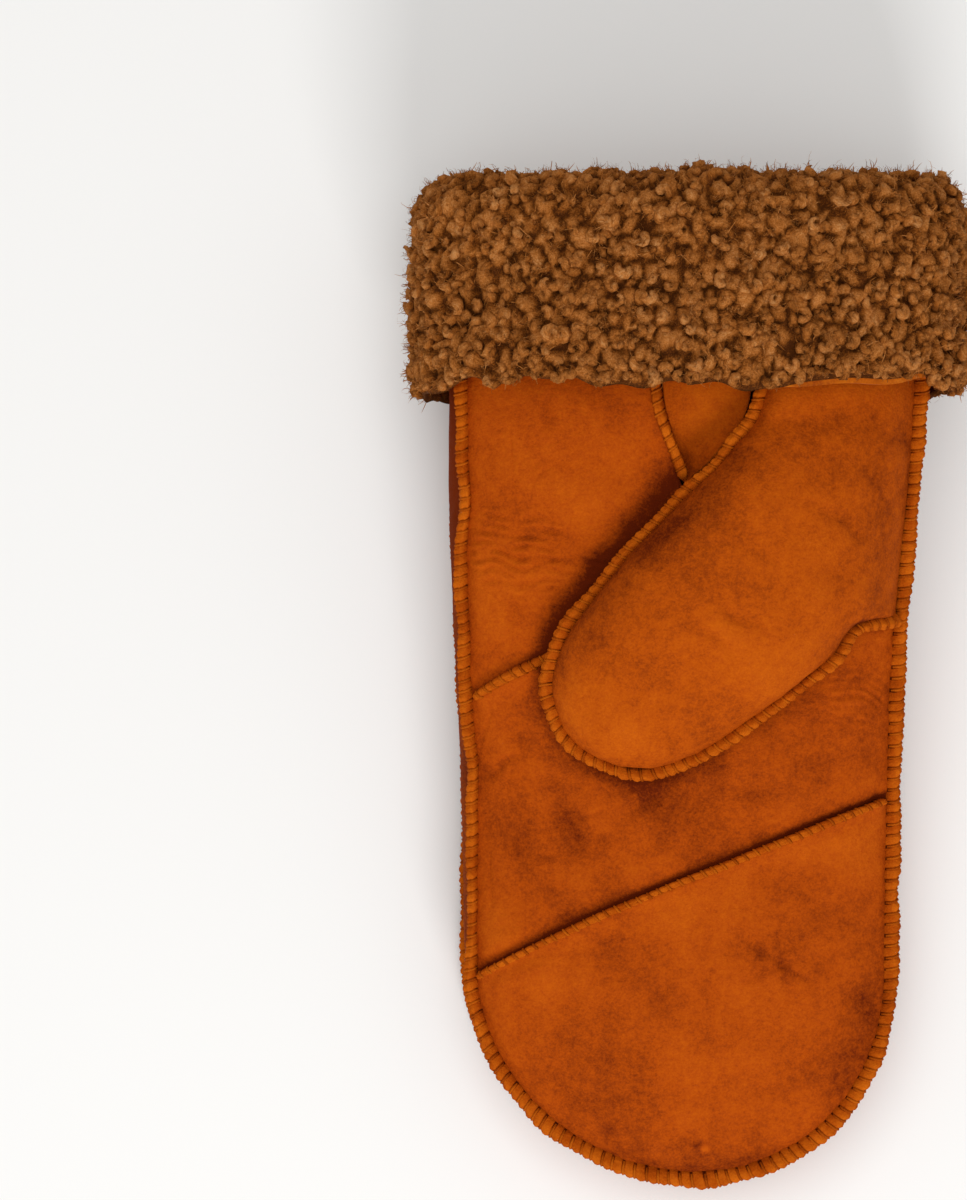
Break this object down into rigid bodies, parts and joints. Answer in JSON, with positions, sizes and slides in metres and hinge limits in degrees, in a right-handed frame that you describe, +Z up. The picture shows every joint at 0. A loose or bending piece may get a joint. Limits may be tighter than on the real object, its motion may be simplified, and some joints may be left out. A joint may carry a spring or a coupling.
{
  "type": "leather mitten",
  "caption": "Sheepskin mitten with outside seams, a folded thumb and a turned-back fleece cuff, lying on the back of its hand.",
  "frame": {"origin": "under the middle of the mitten's box, on the surface that it lies on", "axes": "+Y from the fingertip to the cuff, +X to the thumb's side, +Z up out of the palm"},
  "size_m": [0.155, 0.2828, 0.083],
  "materials": {
    "suede": "orange-brown suede, napped, slightly worn",
    "sewn_edge": "suede edges turned out and oversewn with yellow-brown thread",
    "cuff_leather": "paler cut edge of the sheepskin",
    "fleece": "dense brown sheep's wool in small curled locks"
  },
  "bodies": {
    "root": {"palm_upper_panel": "suede", "palm_middle_panel": "suede", "palm_finger_panel": "suede", "thumb_outer_panel": "suede", "thumb_inner_panel": "suede", "back_outer_panel": "suede", "back_thumb_side_panel": "suede", "back_finger_panel": "suede", "side_strip_outer": "suede", "side_strip_thumb_side": "suede", "palm_side_ridge": "sewn_edge", "back_side_ridge": "sewn_edge", "thumb_ridge": "sewn_edge", "palm_crease_ridge": "sewn_edge", "palm_finger_ridge": "sewn_edge", "thumb_root_ridge": "sewn_edge", "back_middle_ridge": "sewn_edge", "back_cross_ridge": "sewn_edge", "strip_joint_ridge": "sewn_edge", "cuff_skin_palm_half": "cuff_leather", "cuff_skin_back_half": "cuff_leather", "cuff_fleece": "fleece", "mouth_fleece": "fleece"}
  },
  "joints": []
}
